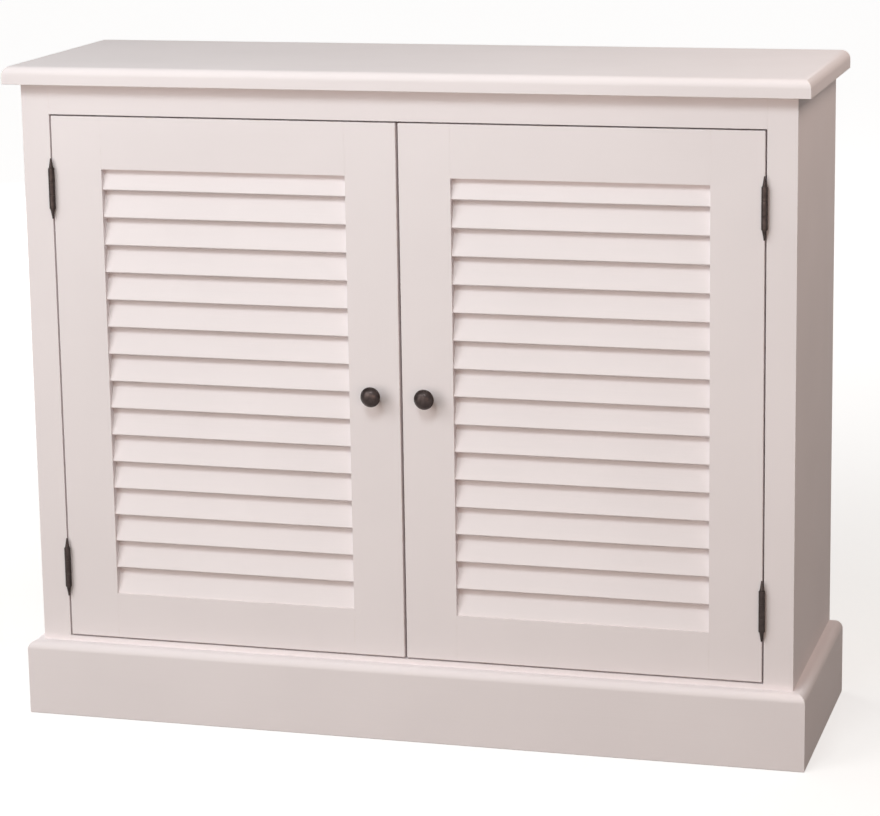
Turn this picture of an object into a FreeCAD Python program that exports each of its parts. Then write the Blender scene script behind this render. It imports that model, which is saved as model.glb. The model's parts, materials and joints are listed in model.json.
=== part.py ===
import FreeCAD, Part
import math
import os

# A two-door cabinet with louvred doors, all sizes in millimetres.
# The front faces -Y, +X is to the right of someone facing it, and the floor is Z = 0.
# The cabinet is symmetric: what stands left of the middle is built there and mirrored to the right.
# The origin is under the middle of its outer box, which reaches from the knobs to the back edges.

V = FreeCAD.Vector
UP = V(0, 0, 1)
DOWN = V(0, 0, -1)
LEFTWARD = V(-1, 0, 0)
RIGHTWARD = V(1, 0, 0)
FORWARD = V(0, -1, 0)

# ---- Driving sizes: case ----
case_width = 965.0
case_depth = 300.0  # from the face of the frame to the back edges
cabinet_height = 832.0

top_thickness = 22.5
top_front_overhang = 19.0
top_side_overhang = 17.5
top_round_radius = 11.0

base_height = 95.0
base_thickness = 17.0
base_round_radius = 10.0

frame_thickness = 22.0
frame_stile_width = 36.0
frame_top_rail_height = 38.0
frame_bottom_rail_height = 60.0
frame_bottom_reveal = 6.5  # how far the bottom rail shows above the base

side_thickness = 16.0
bottom_thickness = 16.0
bottom_housing_depth = 6.0  # how far the bottom panel is let into each side
back_thickness = 5.0
back_rebate_width = 9.0  # how far the back panel laps onto each side
base_back_rail_thickness = 16.0

cleat_thickness = 20.0
cleat_height = 38.0
corner_block_size = 30.0
corner_block_height = 60.0

# ---- Driving sizes: joinery ----
tenon_thickness = 8.0
frame_tenon_length = 18.0
frame_tenon_shoulder = 8.0
door_tenon_length = 25.0
door_tenon_shoulder = 16.0
joint_gap = 0.1  # round a tenon, a panel edge or a block in its seat
tenon_end_gap = 1.0  # glue space at the bottom of a mortise

# ---- Driving sizes: shelf ----
shelf_thickness = 16.0
shelf_height = 345.0  # its top face above the bottom panel
shelf_setback = 20.0  # behind the backs of the doors
shelf_side_gap = 1.5
batten_thickness = 12.0
batten_height = 20.0

# ---- Driving sizes: doors ----
door_thickness = 22.0
door_edge_gap = 2.0  # above and below each door
meeting_gap = 3.0
door_stile_width = 64.5
door_top_rail_height = 65.0
door_bottom_rail_height = 58.0

slat_thickness = 6.0
slat_width = 40.0
slat_tilt = 20.0  # degrees from upright, leaning back
slat_pitch = 34.5
slat_setback = 1.5  # lower front edge of a slat behind the face of the door
slat_arris = 0.8  # flat taken off each long edge
slat_least_show = 10.0  # least part of the top slat that shows below the top rail
slat_housing_depth = 7.0
slat_end_gap = 0.5
slat_fit = 0.15

# ---- Driving sizes: hinges ----
hinge_length = 51.0
hinge_setting = 90.0  # middle of a hinge from the end of the door
barrel_radius = 3.9
pin_radius = 1.5
pin_clearance = 0.05
knuckles = 3
knuckle_gap = 0.2
leaf_thickness = 1.6
leaf_gap = 0.4  # between the two leaves of a closed hinge
leaf_depth = 18.0  # from the face of the door into its edge
leaf_seat_gap = 0.2
swing_clearance = 0.3  # between the barrel and the face of the door
finial_length = 12.5
finial_root_radius = 3.0

# ---- Driving sizes: knobs ----
knob_projection = 25.0
knob_radius = 12.5
knob_face_radius = 8.2
knob_bevel_depth = 5.0
knob_cup_depth = 6.0
knob_neck_radius = 5.5

# ---- Driving sizes: catches and strike plates ----
catch_length = 46.0
catch_block_length = 30.0
catch_height = 14.0
catch_depth = 14.0
catch_ear_thickness = 3.0
catch_air_gap = 0.3  # between the poles and the strike plate of a closed door
pole_thickness = 1.5
pole_length = 24.0
pole_proud = 0.8
magnet_thickness = 5.0
magnet_depth = 10.0
strike_length = 34.0
strike_height = 11.0
strike_thickness = 1.2

# ---- Planes and levels that follow from the driving sizes ----
forward_reach = max(knob_projection, top_front_overhang, base_thickness)
front_y = (forward_reach - case_depth) / 2
back_y = front_y + case_depth
frame_back_y = front_y + frame_thickness
door_back_y = front_y + door_thickness
back_panel_y = back_y - back_thickness

side_outer_x = case_width / 2
side_inner_x = side_outer_x - side_thickness
opening_x = side_outer_x - frame_stile_width

top_underside = cabinet_height - top_thickness
opening_top = top_underside - frame_top_rail_height
opening_bottom = base_height + frame_bottom_reveal
bottom_underside = opening_bottom - bottom_thickness
cleat_underside = top_underside - cleat_height
shelf_underside = opening_bottom + shelf_height - shelf_thickness

hinge_gap = leaf_thickness + leaf_gap
door_outer_x = -(opening_x - hinge_gap)
door_inner_x = -meeting_gap / 2
door_bottom = opening_bottom + door_edge_gap
door_top = opening_top - door_edge_gap
louvre_left = door_outer_x + door_stile_width
louvre_right = door_inner_x - door_stile_width
louvre_bottom = door_bottom + door_bottom_rail_height
louvre_top = door_top - door_top_rail_height

pin_stand = barrel_radius + swing_clearance
pin_x = -opening_x + leaf_thickness + leaf_gap / 2
pin_y = front_y - pin_stand
hinge_heights = (door_bottom + hinge_setting, door_top - hinge_setting)

meeting_stile_x = door_inner_x - door_stile_width / 2
knob_z = (door_bottom + door_top) / 2
catch_front_y = door_back_y + strike_thickness + catch_air_gap + pole_proud
pole_z = cleat_underside - catch_height + (catch_height - catch_ear_thickness) / 2

pieces = {}


# ---- Shape helpers ----
def box(x0, x1, y0, y1, z0, z1):
    return Part.makeBox(x1 - x0, y1 - y0, z1 - z0, V(x0, y0, z0))


def prism(points, along):
    """A flat outline pushed along a vector."""
    return Part.Face(Part.makePolygon(points + [points[0]])).extrude(along)


def turned(outline, at, along):
    """A turned piece: its outline lists (radius, distance along the axis) and closes on the axis."""
    points = [V(radius, 0, distance) for radius, distance in outline]
    face = Part.Face(Part.makePolygon(points + [points[0]]))
    solid = face.revolve(V(0, 0, 0), UP, 360)
    solid.Placement = FreeCAD.Placement(at, FreeCAD.Rotation(UP, along))
    return solid


def mirrored(shape):
    """The same piece on the other side of the middle."""
    return shape.mirror(V(0, 0, 0), RIGHTWARD)


def both_sides(shapes):
    return Part.makeCompound(shapes + [mirrored(shape) for shape in shapes])


# ---- Joinery ----
def tenon(x0, x1, y0, y1, z0, z1, length, shoulder, gap=0.0, end_gap=0.0):
    """The tongue that runs through a rail and out of both its ends. Gaps make the mortises for it."""
    middle = (y0 + y1) / 2
    half = tenon_thickness / 2 + gap
    reach = length + end_gap
    return box(x0 - reach, x1 + reach, middle - half, middle + half, z0 + shoulder - gap, z1 - shoulder + gap)


def rail_and_mortises(x0, x1, y0, y1, z0, z1, length, shoulder):
    """A rail with a tenon on each end, and the cutter for the mortises in the stiles beside it."""
    rail = box(x0, x1, y0, y1, z0, z1).fuse(tenon(x0, x1, y0, y1, z0, z1, length, shoulder))
    return rail, tenon(x0, x1, y0, y1, z0, z1, length, shoulder, joint_gap, tenon_end_gap)


def frame_rail(z0, z1):
    return rail_and_mortises(
        -opening_x, opening_x, front_y, frame_back_y, z0, z1, frame_tenon_length, frame_tenon_shoulder
    )


def door_rail(z0, z1):
    return rail_and_mortises(
        louvre_left, louvre_right, front_y, door_back_y, z0, z1, door_tenon_length, door_tenon_shoulder
    )


# ---- Hinges ----
def knuckle_span(number):
    """Bottom and top of one knuckle, counted from the bottom, about the middle of the hinge."""
    step = hinge_length / knuckles
    low = -hinge_length / 2 + number * step
    below = knuckle_gap / 2 if number > 0 else 0.0
    above = knuckle_gap / 2 if number < knuckles - 1 else 0.0
    return low + below, low + step - above


def leaf(into, numbers):
    """One leaf of a closed hinge about its pin, for the frame (-1) or the door (+1).

    It is a plate, and knuckles rolled round the pin from tabs on the plate.
    """
    x0, x1 = sorted((into * leaf_gap / 2, into * (leaf_gap / 2 + leaf_thickness)))
    plate = box(x0, x1, pin_stand, pin_stand + leaf_depth, -hinge_length / 2, hinge_length / 2)
    rolled = []
    for number in numbers:
        low, high = knuckle_span(number)
        rolled.append(Part.makeCylinder(barrel_radius, high - low, V(0, 0, low)))
        rolled.append(box(x0, x1, 0, pin_stand, low, high))
    bore = Part.makeCylinder(pin_radius + pin_clearance, hinge_length, V(0, 0, -hinge_length / 2))
    return plate.fuse(rolled).removeSplitter().cut(bore)


def finial_outline(base):
    """A steeple from its root to its point on the axis, above a base height."""
    return [(finial_root_radius, base), (0, base + finial_length)]


def hinge_pin():
    """The pin with its upper finial, and the lower finial fixed to its end."""
    half = hinge_length / 2
    pin = turned([(0, -half), (pin_radius, -half), (pin_radius, half)] + finial_outline(half), V(0, 0, 0), UP)
    lower = turned([(0, half)] + finial_outline(half), V(0, 0, 0), DOWN)
    return [pin, lower]


def at_hinges(shapes):
    """Pieces built about the pin, placed at both hinges of the left door."""
    placed = []
    for z in hinge_heights:
        for shape in shapes:
            moved = shape.copy()
            moved.translate(V(pin_x, pin_y, z))
            placed.append(moved)
    return placed


def hinge_seats():
    """The recesses that the door leaves lie in, cut in the outer edge of the left door."""
    depth = leaf_depth + leaf_seat_gap
    half = hinge_length / 2 + leaf_seat_gap
    return [
        box(door_outer_x, door_outer_x + leaf_thickness, front_y, front_y + depth, z - half, z + half)
        for z in hinge_heights
    ]


def make_hinges():
    door_leaves = Part.makeCompound(at_hinges([leaf(1, range(1, knuckles, 2))]))
    pieces["hinge_frame_leaves"] = both_sides(at_hinges([leaf(-1, range(0, knuckles, 2))]))
    pieces["hinge_pins"] = both_sides(at_hinges(hinge_pin()))
    pieces["left_door_hinge_leaves"] = door_leaves
    pieces["right_door_hinge_leaves"] = mirrored(door_leaves)


# ---- Louvre slats ----
def slat_heights():
    """Heights of the lower front edges, from the lowest slat up."""
    count = int((louvre_top - louvre_bottom - slat_least_show) / slat_pitch) + 1
    return [louvre_bottom + slat_pitch * number for number in range(count)]


def slat(front_edge_z, end_reach, grow=0.0):
    """One slat leaning back from its lower front edge, reaching into the stiles at both ends.

    The lowest and the highest are ripped flat where they meet the rails.
    """
    tilt = math.radians(slat_tilt)
    rise = V(0, math.sin(tilt), math.cos(tilt))
    through = V(0, math.cos(tilt), -math.sin(tilt))
    low, high = -grow, slat_width + grow
    face, rear = -grow, slat_thickness + grow
    section = [
        (low + slat_arris, face),
        (high - slat_arris, face),
        (high, face + slat_arris),
        (high, rear - slat_arris),
        (high - slat_arris, rear),
        (low + slat_arris, rear),
        (low, rear - slat_arris),
        (low, face + slat_arris),
    ]
    x0 = louvre_left - end_reach
    x1 = louvre_right + end_reach
    corner = V(x0, front_y + slat_setback, front_edge_z)
    board = prism([corner + rise * up + through * back for up, back in section], V(x1 - x0, 0, 0))
    return board.common(box(x0, x1, front_y, door_back_y, louvre_bottom - grow, louvre_top + grow))


# ---- Knobs ----
def knob():
    """A mushroom knob turned about its screw: neck, cup, rim, bevel and flat face."""
    rim = knob_projection - knob_bevel_depth
    outline = [
        (0, 0),
        (knob_neck_radius, 0),
        (knob_neck_radius, rim - knob_cup_depth),
        (knob_radius, rim),
        (knob_face_radius, knob_projection),
        (0, knob_projection),
    ]
    return turned(outline, V(meeting_stile_x, front_y, knob_z), FORWARD)


# ---- Catches ----
def poles_and_magnet():
    """Two pole plates with a magnet between them, level with the strike plate."""
    x0, x1 = meeting_stile_x - pole_length / 2, meeting_stile_x + pole_length / 2
    back = catch_front_y + magnet_depth
    low, high = pole_z - magnet_thickness / 2, pole_z + magnet_thickness / 2
    poles = [
        box(x0, x1, catch_front_y - pole_proud, back, low - pole_thickness, low),
        box(x0, x1, catch_front_y - pole_proud, back, high, high + pole_thickness),
    ]
    return poles, box(x0, x1, catch_front_y, back, low, high)


def catch_housing():
    """A block with two ears under the front cleat, hollowed from the front for the poles and the magnet."""
    x = meeting_stile_x
    front, back = catch_front_y, catch_front_y + catch_depth
    ear_low, block_low = cleat_underside - catch_ear_thickness, cleat_underside - catch_height
    half, block_half = catch_length / 2, catch_block_length / 2
    ears = box(x - half, x + half, front, back, ear_low, cleat_underside)
    block = box(x - block_half, x + block_half, front, back, block_low, cleat_underside)
    reach = pole_length / 2 + joint_gap
    rise = magnet_thickness / 2 + pole_thickness + joint_gap
    hollow_back = front + magnet_depth + joint_gap
    hollow = box(x - reach, x + reach, front, hollow_back, pole_z - rise, pole_z + rise)
    return ears.fuse(block).removeSplitter().cut(hollow)


def strike_plate():
    half_length, half_height = strike_length / 2, strike_height / 2
    return box(
        meeting_stile_x - half_length,
        meeting_stile_x + half_length,
        door_back_y,
        door_back_y + strike_thickness,
        pole_z - half_height,
        pole_z + half_height,
    )


def make_catches():
    poles, magnet = poles_and_magnet()
    housing = catch_housing()
    pieces["left_catch_housing"] = housing
    pieces["right_catch_housing"] = mirrored(housing)
    pieces["catch_pole_plates"] = both_sides(poles)
    pieces["catch_magnets"] = both_sides([magnet])


# ---- Doors ----
def make_doors():
    """The left door piece by piece, each with its mirror image in the right door."""
    top_rail, top_mortises = door_rail(louvre_top, door_top)
    bottom_rail, bottom_mortises = door_rail(door_bottom, louvre_bottom)
    housings = [slat(z, slat_housing_depth, slat_fit) for z in slat_heights()]
    joints = [top_mortises, bottom_mortises] + housings
    hinge_stile = box(door_outer_x, louvre_left, front_y, door_back_y, door_bottom, door_top)
    meeting_stile = box(louvre_right, door_inner_x, front_y, door_back_y, door_bottom, door_top)
    left_door = {
        "hinge_stile": hinge_stile.cut(joints + hinge_seats()),
        "meeting_stile": meeting_stile.cut(joints),
        "top_rail": top_rail,
        "bottom_rail": bottom_rail,
        "slats": Part.makeCompound([slat(z, slat_housing_depth - slat_end_gap) for z in slat_heights()]),
        "knob": knob(),
        "strike_plate": strike_plate(),
    }
    for name, shape in left_door.items():
        pieces[f"left_door_{name}"] = shape
        pieces[f"right_door_{name}"] = mirrored(shape)


# ---- Face frame ----
def make_face_frame():
    top_rail, top_mortises = frame_rail(opening_top, top_underside)
    bottom_rail, bottom_mortises = frame_rail(opening_bottom - frame_bottom_rail_height, opening_bottom)
    stile = box(-side_outer_x, -opening_x, front_y, frame_back_y, 0, top_underside)
    stile = stile.cut([top_mortises, bottom_mortises])
    pieces["frame_left_stile"] = stile
    pieces["frame_right_stile"] = mirrored(stile)
    pieces["frame_top_rail"] = top_rail
    pieces["frame_bottom_rail"] = bottom_rail


# ---- Top ----
def make_top():
    """A board rounded over on the upper edges of its front and ends, fixed to two cleats."""
    half = side_outer_x + top_side_overhang
    board = box(-half, half, front_y - top_front_overhang, back_y, top_underside, cabinet_height)
    shown = []
    for edge in board.Edges:
        on_top = edge.BoundBox.ZMin > (top_underside + cabinet_height) / 2
        if on_top and edge.BoundBox.YMin < front_y:
            shown.append(edge)
    pieces["top_panel"] = board.makeFillet(top_round_radius, shown)
    places = {"top_front_cleat": frame_back_y, "top_back_cleat": back_panel_y - cleat_thickness}
    for name, y in places.items():
        back = y + cleat_thickness
        pieces[name] = box(-side_inner_x, side_inner_x, y, back, cleat_underside, top_underside)


# ---- Carcass ----
def bottom_panel(gap=0.0):
    reach = side_inner_x + bottom_housing_depth + gap
    return box(-reach, reach, frame_back_y, back_panel_y, bottom_underside - gap, opening_bottom + gap)


def back_panel(gap=0.0):
    reach = side_inner_x + back_rebate_width + gap
    return box(-reach, reach, back_panel_y, back_y, bottom_underside - gap, top_underside)


def make_carcass():
    side = box(-side_outer_x, -side_inner_x, frame_back_y, back_y, 0, top_underside)
    side = side.cut([bottom_panel(joint_gap), back_panel(joint_gap)])
    pieces["left_side_panel"] = side
    pieces["right_side_panel"] = mirrored(side)
    pieces["bottom_panel"] = bottom_panel()
    pieces["back_panel"] = back_panel()
    rail_front = back_y - base_back_rail_thickness
    rail_top = bottom_underside - joint_gap
    pieces["base_back_rail"] = box(-side_inner_x, side_inner_x, rail_front, back_y, 0, rail_top)
    block_low = bottom_underside - corner_block_height
    block_x = -side_inner_x + corner_block_size
    blocks = [
        box(-side_inner_x, block_x, y, y + corner_block_size, block_low, bottom_underside)
        for y in (frame_back_y, rail_front - corner_block_size)
    ]
    pieces["corner_blocks"] = both_sides(blocks)


def make_shelf():
    """A shelf that lies on two battens fixed to the sides."""
    front = door_back_y + shelf_setback
    reach = side_inner_x - shelf_side_gap
    low = shelf_underside
    pieces["shelf"] = box(-reach, reach, front, back_panel_y, low, low + shelf_thickness)
    batten_x = -side_inner_x + batten_thickness
    batten = box(-side_inner_x, batten_x, front, back_panel_y, low - batten_height, low)
    pieces["left_shelf_batten"] = batten
    pieces["right_shelf_batten"] = mirrored(batten)


# ---- Base ----
def base_section(corner, outward):
    """The section of the base: a board with its top outer edge rounded. The corner is its inner foot."""
    inset = base_round_radius * (1 - math.sqrt(0.5))  # of the middle of the round from the two flats

    def place(out, up):
        return corner + outward * out + UP * up

    foot = place(base_thickness, 0)
    round_low = place(base_thickness, base_height - base_round_radius)
    round_middle = place(base_thickness - inset, base_height - inset)
    round_high = place(base_thickness - base_round_radius, base_height)
    inner_top = place(0, base_height)
    edges = [
        Part.LineSegment(corner, foot).toShape(),
        Part.LineSegment(foot, round_low).toShape(),
        Part.Arc(round_low, round_middle, round_high).toShape(),
        Part.LineSegment(round_high, inner_top).toShape(),
        Part.LineSegment(inner_top, corner).toShape(),
    ]
    return Part.Face(Part.Wire(edges))


def make_base():
    """Mouldings round the front and ends of the case, mitred together at the front corners."""
    outer_x = side_outer_x + base_thickness
    outer_y = front_y - base_thickness
    inner_left, inner_right = V(-side_outer_x, front_y, 0), V(side_outer_x, front_y, 0)
    outer_left, outer_right = V(-outer_x, outer_y, 0), V(outer_x, outer_y, 0)
    back_inner, back_outer = V(-side_outer_x, back_y, 0), V(-outer_x, back_y, 0)
    front_plan = prism([inner_left, inner_right, outer_right, outer_left], UP * base_height)
    side_plan = prism([inner_left, outer_left, back_outer, back_inner], UP * base_height)
    front_run = base_section(V(-outer_x, front_y, 0), FORWARD).extrude(RIGHTWARD * (2 * outer_x))
    side_run = base_section(V(-side_outer_x, outer_y, 0), LEFTWARD).extrude(V(0, back_y - outer_y, 0))
    side_moulding = side_run.common(side_plan)
    pieces["base_front_moulding"] = front_run.common(front_plan)
    pieces["base_left_moulding"] = side_moulding
    pieces["base_right_moulding"] = mirrored(side_moulding)


def export_pieces():
    os.makedirs("parts", exist_ok=True)
    for name, shape in pieces.items():
        shape.exportStep(f"parts/{name}.step")


make_top()
make_face_frame()
make_carcass()
make_shelf()
make_base()
make_doors()
make_hinges()
make_catches()
export_pieces()
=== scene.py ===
import json
import math

import bmesh
import bpy
from mathutils import Matrix, Vector

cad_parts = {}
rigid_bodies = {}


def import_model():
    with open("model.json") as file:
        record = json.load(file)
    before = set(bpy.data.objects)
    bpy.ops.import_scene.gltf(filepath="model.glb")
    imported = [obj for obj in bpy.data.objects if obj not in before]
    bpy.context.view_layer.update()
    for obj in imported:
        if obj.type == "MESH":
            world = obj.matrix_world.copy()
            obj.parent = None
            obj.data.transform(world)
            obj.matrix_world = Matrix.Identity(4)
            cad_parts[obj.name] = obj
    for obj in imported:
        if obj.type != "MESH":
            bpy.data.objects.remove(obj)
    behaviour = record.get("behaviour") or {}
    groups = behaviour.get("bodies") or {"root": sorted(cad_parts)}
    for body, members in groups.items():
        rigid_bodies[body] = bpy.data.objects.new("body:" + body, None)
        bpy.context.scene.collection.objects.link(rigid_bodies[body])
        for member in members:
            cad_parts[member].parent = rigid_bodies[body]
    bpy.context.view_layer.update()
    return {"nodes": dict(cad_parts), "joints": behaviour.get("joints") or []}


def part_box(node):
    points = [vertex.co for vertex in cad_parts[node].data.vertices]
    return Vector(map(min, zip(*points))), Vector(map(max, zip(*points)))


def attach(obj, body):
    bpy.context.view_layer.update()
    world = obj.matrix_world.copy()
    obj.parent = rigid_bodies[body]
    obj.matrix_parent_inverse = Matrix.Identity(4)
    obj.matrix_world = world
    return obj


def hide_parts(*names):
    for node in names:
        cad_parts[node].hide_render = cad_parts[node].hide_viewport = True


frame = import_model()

# A painted cabinet with louvred doors, in metres, in the frame of its CAD.
# The front faces -Y, +X is to the right of someone facing it, and the floor is Z = 0.

MM = 0.001
SIDES = ("left", "right")
BODY = {"left": "left_door", "right": "right_door"}
ALONG_X, ALONG_Y, ALONG_Z = "along_x", "along_y", "along_z"

# ---- Sizes that the CAD leaves to this file ----
board_ease = 0.7 * MM  # soft edge of a painted board
rim_ease = 0.9 * MM  # round the outside of a door
joint_ease = 0.12 * MM  # where two boards meet flush
metal_ease = 0.25 * MM
ease_steps, board_ease_steps, rim_ease_steps = 2, 3, 4
sharp_angle = math.radians(40)  # an edge that turns by more than this is sharp
hair = 0.01 * MM  # the top lies this far inside its place, and edges this near the rim are on it
top_round = 11.0 * MM
base_round = 10.0 * MM
round_steps = 12
small_round_steps, bead_steps = 4, 6

slat_width = 40.0 * MM
slat_thickness = 6.0 * MM
slat_tilt = math.radians(20)
slat_pitch = 34.5 * MM
slat_setback = 1.5 * MM
slat_edge_radius = 1.3 * MM
slat_edge_points = 4
slat_least_show = 10.0 * MM
slat_sway = math.radians(0.25)  # how far single slats differ in tilt
slat_seeds = {"left": 3, "right": 4}

hinge_length = 51.0 * MM
hinge_knuckles = 3
knuckle_gap = 0.2 * MM
leaf_thickness = 1.6 * MM
leaf_gap = 0.4 * MM
leaf_seat_gap = 0.2 * MM  # round a leaf in its recess
recess_cutter_reach = 1.0 * MM  # how far the cutter of a recess stands out of the stile
pin_radius = 1.5 * MM
barrel_round = 0.8 * MM  # at the outer ends of a barrel
turning_steps = 56  # round a turned piece

finial_length = 12.5 * MM
collar_radius, collar_height = 3.1 * MM, 1.0 * MM
collar_sweep = 80  # degrees of its rounded edge to each side of the middle
spire_foot = 1.3 * MM  # above the foot of the finial
spire_root, spire_tip = 2.7 * MM, 1.05 * MM
spire_sweep = 1.1  # 1 is a straight cone, and more is hollower
spire_steps = 12

# A knob, as radii round its axis and heights above the door
knob_foot, knob_neck = 5.3 * MM, 4.5 * MM
knob_foot_height, knob_foot_step = 0.8 * MM, 0.4 * MM
neck_low, neck_length = 1.1 * MM, 9.0 * MM
neck_hollow = 3  # 1 tapers evenly, and more thins sooner
cup_low, cup_inset = 10.5 * MM, 0.9 * MM
rim_low, rim_high = 17.0 * MM, 19.0 * MM
rim_radius, rim_from, rim_to = 1.0 * MM, -60, 50
cap_drop, cap_inset = 0.1 * MM, 0.7 * MM
cap_flatness = 3.4  # 2 is a dome, and more is flatter with a rounder shoulder
neck_steps, cup_steps, cap_steps = 6, 8, 16

back_sink = 0.3 * MM  # the back panel lies this far inside the edges of the sides

# Screws, each the radius of its head and the depth of its cone or the height of its dome
hinge_screw = (2.9 * MM, 1.3 * MM)
strike_screw = (2.6 * MM, 0.9 * MM)
back_screw = (2.8 * MM, 1.4 * MM)
knob_screw = (4.0 * MM, 2.2 * MM)
catch_screw = (2.6 * MM, 1.2 * MM)
top_screw = (4.0 * MM, 2.0 * MM)
screw_slack = 0.15 * MM  # round a flush head, and how far it lies below the surface
screw_taper = 0.55  # foot of the cone over its head
cross_length, cross_width = 1.15, 0.26  # over the radius of the head
cross_depth = 0.7  # over the depth of the cone or the height of the dome
screw_facets = 32
hinge_screws_per_leaf = 3
hinge_screw_stagger = 2.5 * MM
catch_ear = 3.0 * MM
catch_screw_from_end = 4.5 * MM
top_screw_from_end = 110.0 * MM
back_screw_inset, back_screw_spacing = 6.0 * MM, 150.0 * MM

# ---- Finishes, as seen in plain light ----
PAINT_LIGHT = (240, 232, 233)
PAINT_SHADE = (236, 228, 229)
PAINT_WORN = (226, 214, 205)
PINE_LIGHT = (222, 196, 156)
PINE_DARK = (196, 162, 118)
BRONZE = (72, 63, 61)
BRONZE_DEEP = (52, 45, 44)
BRONZE_RUBBED = (104, 92, 84)
ZINC = (160, 161, 161)
ZINC_DULL = (122, 124, 126)
PLASTIC = (226, 222, 212)
FERRITE = (62, 62, 66)

# ---- Studio: light colours as shares of red, green and blue, and the floor as the shader wants it ----
ROOM_LIGHT = (1.0, 0.88, 0.78, 1)
BACKDROP = (1, 1, 1, 1)
FLOOR_SEEN = (0.50, 0.49, 0.48, 1)
FLOOR_UNSEEN = (0.08, 0.065, 0.05, 1)  # to light that bounces off it on its way to the cabinet
room_level = 0.10
floor_reach = 30.0
floor_glow = (0.62, 0.90)  # near the cabinet and far from it
floor_glow_reach = (0.8, 3.0)  # where near ends and far begins
lamp_aim = Vector((0, -0.14, 0.45))
camera_place = Vector((1.00991, -3.53513, 1.23332))
camera_turn, camera_drop, camera_roll = (math.radians(angle) for angle in (15.7775, 11.9125, -0.9035))
camera_sensor, camera_lens = 36.0, 122.15  # millimetres
camera_shift = -0.06
camera_sight = 60.0


def linear(colour):
    """A colour written in 0 to 255, as the shader wants it."""
    values = []
    for part in colour:
        share = part / 255
        values.append(share / 12.92 if share <= 0.04045 else ((share + 0.055) / 1.055) ** 2.4)
    return (*values, 1.0)


# ---- Material helpers ----
class Shading:
    """Short ways to add nodes to a shader tree."""

    def __init__(self, tree):
        self.tree = tree

    def node(self, kind, **settings):
        made = self.tree.nodes.new(kind)
        for key, value in settings.items():
            setattr(made, key, value)
        return made

    def join(self, output, socket):
        self.tree.links.new(output, socket)

    def maths(self, operation, first, second):
        made = self.node("ShaderNodeMath", operation=operation)
        self.join(first, made.inputs[0])
        self.join(second, made.inputs[1])
        return made.outputs[0]

    def seen_directly(self):
        """1 for rays from the camera, from gloss and through glass, and 0 for the rest."""
        path = self.node("ShaderNodeLightPath").outputs
        seen = self.maths("MAXIMUM", path["Is Camera Ray"], path["Is Glossy Ray"])
        return self.maths("MAXIMUM", seen, path["Is Transmission Ray"])


class Finish(Shading):
    """A material with one principled shader, whose patterns lie in the piece's own space."""

    def __init__(self, name):
        self.material = bpy.data.materials.new(name)
        self.material.use_nodes = True
        super().__init__(self.material.node_tree)
        self.shader = self.tree.nodes["Principled BSDF"]
        self.place = self.node("ShaderNodeTexCoord").outputs["Object"]

    def noise(self, grains, detail=4.0, roughness=0.5, distortion=0.0):
        """Noise whose grains have a size in metres, or three sizes along X, Y and Z."""
        sizes = grains if isinstance(grains, tuple) else (grains, grains, grains)
        mapping = self.node("ShaderNodeMapping")
        mapping.inputs["Scale"].default_value = [1 / size for size in sizes]
        self.join(self.place, mapping.inputs["Vector"])
        noise = self.node("ShaderNodeTexNoise")
        noise.inputs["Scale"].default_value = 1.0
        noise.inputs["Detail"].default_value = detail
        noise.inputs["Roughness"].default_value = roughness
        noise.inputs["Distortion"].default_value = distortion
        self.join(mapping.outputs["Vector"], noise.inputs["Vector"])
        return noise.outputs["Fac"]

    def between(self, value, low, high, from_low=0.3, from_high=0.7):
        spread = self.node("ShaderNodeMapRange")
        spread.inputs["From Min"].default_value = from_low
        spread.inputs["From Max"].default_value = from_high
        spread.inputs["To Min"].default_value = low
        spread.inputs["To Max"].default_value = high
        self.join(value, spread.inputs["Value"])
        return spread.outputs["Result"]

    def mix(self, share, first, second):
        """A colour between two, each a written colour or the output of a node."""
        mixed = self.node("ShaderNodeMix", data_type="RGBA")
        self.join(share, mixed.inputs[0])
        for socket, colour in ((mixed.inputs[6], first), (mixed.inputs[7], second)):
            if isinstance(colour, tuple):
                socket.default_value = linear(colour)
            else:
                self.join(colour, socket)
        return mixed.outputs[2]

    def eased_edge(self):
        """1 on the eased edges of a piece and 0 elsewhere."""
        return self.node("ShaderNodeAttribute", attribute_name="eased").outputs["Fac"]

    def bumps(self, *layers):
        """Bump from (height, distance in metres) pairs, one on top of the other."""
        normal = None
        for height, distance in layers:
            bump = self.node("ShaderNodeBump")
            bump.inputs["Strength"].default_value = 1.0
            bump.inputs["Distance"].default_value = distance
            self.join(height, bump.inputs["Height"])
            if normal is not None:
                self.join(normal, bump.inputs["Normal"])
            normal = bump.outputs["Normal"]
        self.join(normal, self.shader.inputs["Normal"])

    def colour(self, output):
        self.join(output, self.shader.inputs["Base Color"])

    def roughness(self, output):
        self.join(output, self.shader.inputs["Roughness"])


def grain(direction, along, across):
    """Grain sizes along X, Y and Z for a board that runs in a direction."""
    return tuple(along if axis == direction else across for axis in (ALONG_X, ALONG_Y, ALONG_Z))


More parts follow.
